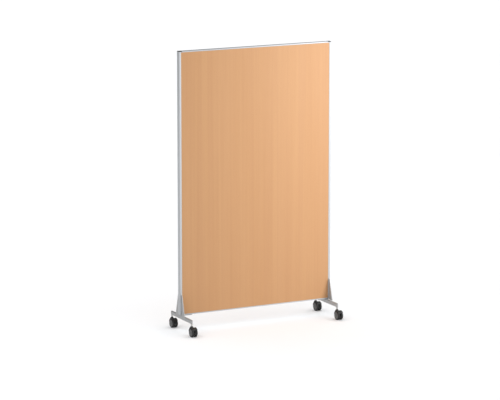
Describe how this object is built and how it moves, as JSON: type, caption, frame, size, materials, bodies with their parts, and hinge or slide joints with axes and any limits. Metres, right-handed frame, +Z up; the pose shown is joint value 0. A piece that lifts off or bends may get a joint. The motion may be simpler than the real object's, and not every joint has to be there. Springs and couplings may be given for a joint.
{
  "type": "partition wall",
  "caption": "Free-standing mobile partition wall: a beech-faced panel in a slim aluminium frame, on crossbar feet with hooded swivel casters.",
  "frame": {"origin": "on the floor, at the middle of the footprint that the casters and necks cover at rest; the wall's middle plane is 17.5 mm behind it, because the casters trail to the front", "axes": "+Z up; +X along the wall to the right as seen from the front; the front face looks along -Y"},
  "size_m": [1.007, 0.331, 1.665],
  "materials": {
    "beech_decor": "satin beech wood decor with vertical grain",
    "softwood": "sawn softwood, hidden",
    "honeycomb": "paper honeycomb, hidden",
    "aluminium": "silver anodised, satin",
    "silver_paint": "silver-grey powder coat, fine texture",
    "steel": "zinc plated",
    "black_plastic": "moulded nylon, fine texture",
    "grey_plastic": "moulded nylon, satin",
    "tread": "soft tread, matt"
  },
  "bodies": {
    "wall": {"front_facing": "beech_decor", "back_facing": "beech_decor", "left_batten": "softwood", "right_batten": "softwood", "bottom_batten": "softwood", "top_batten": "softwood", "honeycomb_core": "honeycomb", "top_rail": "aluminium", "bottom_rail": "aluminium", "left_profile": "aluminium", "left_end_cap": "black_plastic", "top_left_corner_screw": "steel", "bottom_left_corner_screw": "steel", "right_profile": "aluminium", "right_end_cap": "black_plastic", "top_right_corner_screw": "steel", "bottom_right_corner_screw": "steel", "left_foot_bracket": "silver_paint", "left_crossbar": "silver_paint", "left_clamp_screw": "steel", "front_left_crossbar_screw": "steel", "front_left_flange_screw": "steel", "back_left_crossbar_screw": "steel", "back_left_flange_screw": "steel", "front_left_caster_stem": "steel", "back_left_caster_stem": "steel", "right_foot_bracket": "silver_paint", "right_crossbar": "silver_paint", "right_clamp_screw": "steel", "front_right_crossbar_screw": "steel", "front_right_flange_screw": "steel", "back_right_crossbar_screw": "steel", "back_right_flange_screw": "steel", "front_right_caster_stem": "steel", "back_right_caster_stem": "steel"},
    "front_left_caster_fork": {"front_left_caster_hood": "black_plastic", "front_left_caster_axle": "steel"},
    "front_left_caster_outer_roller": {"front_left_caster_outer_wheel": "grey_plastic", "front_left_caster_outer_tread": "tread"},
    "front_left_caster_inner_roller": {"front_left_caster_inner_wheel": "grey_plastic", "front_left_caster_inner_tread": "tread"},
    "back_left_caster_fork": {"back_left_caster_hood": "black_plastic", "back_left_caster_axle": "steel"},
    "back_left_caster_outer_roller": {"back_left_caster_outer_wheel": "grey_plastic", "back_left_caster_outer_tread": "tread"},
    "back_left_caster_inner_roller": {"back_left_caster_inner_wheel": "grey_plastic", "back_left_caster_inner_tread": "tread"},
    "front_right_caster_fork": {"front_right_caster_hood": "black_plastic", "front_right_caster_axle": "steel"},
    "front_right_caster_outer_roller": {"front_right_caster_outer_wheel": "grey_plastic", "front_right_caster_outer_tread": "tread"},
    "front_right_caster_inner_roller": {"front_right_caster_inner_wheel": "grey_plastic", "front_right_caster_inner_tread": "tread"},
    "back_right_caster_fork": {"back_right_caster_hood": "black_plastic", "back_right_caster_axle": "steel"},
    "back_right_caster_outer_roller": {"back_right_caster_outer_wheel": "grey_plastic", "back_right_caster_outer_tread": "tread"},
    "back_right_caster_inner_roller": {"back_right_caster_inner_wheel": "grey_plastic", "back_right_caster_inner_tread": "tread"}
  },
  "joints": [
    {"name": "front_left_caster_swivel", "type": "hinge", "parent": "wall", "child": "front_left_caster_fork", "pos_m": [-0.484, -0.1175, 0.05], "axis": [0, 0, 1], "continuous": true},
    {"name": "front_left_caster_outer_spin", "type": "hinge", "parent": "front_left_caster_fork", "child": "front_left_caster_outer_roller", "pos_m": [-0.484, -0.1395, 0.026], "axis": [1, 0, 0], "continuous": true},
    {"name": "front_left_caster_inner_spin", "type": "hinge", "parent": "front_left_caster_fork", "child": "front_left_caster_inner_roller", "pos_m": [-0.484, -0.1395, 0.026], "axis": [1, 0, 0], "continuous": true},
    {"name": "back_left_caster_swivel", "type": "hinge", "parent": "wall", "child": "back_left_caster_fork", "pos_m": [-0.484, 0.1525, 0.05], "axis": [0, 0, 1], "continuous": true},
    {"name": "back_left_caster_outer_spin", "type": "hinge", "parent": "back_left_caster_fork", "child": "back_left_caster_outer_roller", "pos_m": [-0.484, 0.1305, 0.026], "axis": [1, 0, 0], "continuous": true},
    {"name": "back_left_caster_inner_spin", "type": "hinge", "parent": "back_left_caster_fork", "child": "back_left_caster_inner_roller", "pos_m": [-0.484, 0.1305, 0.026], "axis": [1, 0, 0], "continuous": true},
    {"name": "front_right_caster_swivel", "type": "hinge", "parent": "wall", "child": "front_right_caster_fork", "pos_m": [0.484, -0.1175, 0.05], "axis": [0, 0, 1], "continuous": true},
    {"name": "front_right_caster_outer_spin", "type": "hinge", "parent": "front_right_caster_fork", "child": "front_right_caster_outer_roller", "pos_m": [0.484, -0.1395, 0.026], "axis": [1, 0, 0], "continuous": true},
    {"name": "front_right_caster_inner_spin", "type": "hinge", "parent": "front_right_caster_fork", "child": "front_right_caster_inner_roller", "pos_m": [0.484, -0.1395, 0.026], "axis": [1, 0, 0], "continuous": true},
    {"name": "back_right_caster_swivel", "type": "hinge", "parent": "wall", "child": "back_right_caster_fork", "pos_m": [0.484, 0.1525, 0.05], "axis": [0, 0, 1], "continuous": true},
    {"name": "back_right_caster_outer_spin", "type": "hinge", "parent": "back_right_caster_fork", "child": "back_right_caster_outer_roller", "pos_m": [0.484, 0.1305, 0.026], "axis": [1, 0, 0], "continuous": true},
    {"name": "back_right_caster_inner_spin", "type": "hinge", "parent": "back_right_caster_fork", "child": "back_right_caster_inner_roller", "pos_m": [0.484, 0.1305, 0.026], "axis": [1, 0, 0], "continuous": true}
  ]
}
